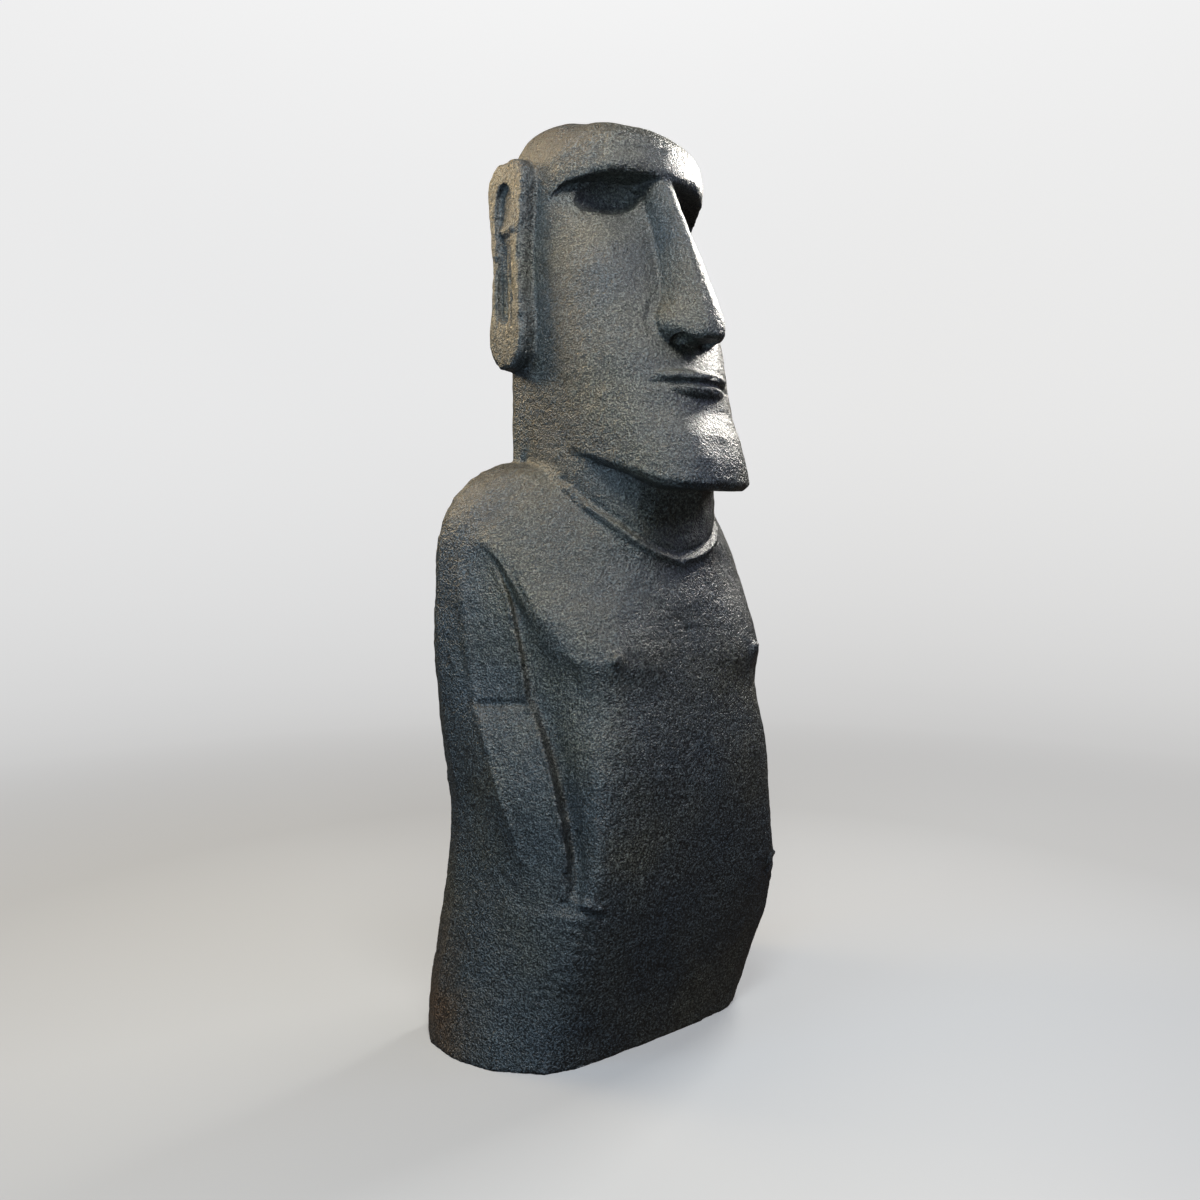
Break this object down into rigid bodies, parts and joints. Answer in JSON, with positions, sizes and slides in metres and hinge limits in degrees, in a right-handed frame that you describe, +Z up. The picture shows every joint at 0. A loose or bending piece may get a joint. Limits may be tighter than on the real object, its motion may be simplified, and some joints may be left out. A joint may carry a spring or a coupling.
{
  "type": "moai statue",
  "caption": "Standing moai ancestor figure carved from one block of dark basalt: large head with long ears, body with arms at its sides, flat foot.",
  "frame": {"origin": "middle of the bounding box, on the flat underside the figure stands on", "axes": "+Z up, the face looks along -Y, the figure's left side is +X"},
  "size_m": [1.0196, 0.6518, 2.42],
  "materials": {
    "dark_basalt": "pecked, weathered, dull with a slight sheen"
  },
  "bodies": {
    "root": {"moai_figure": "dark_basalt"}
  },
  "joints": []
}
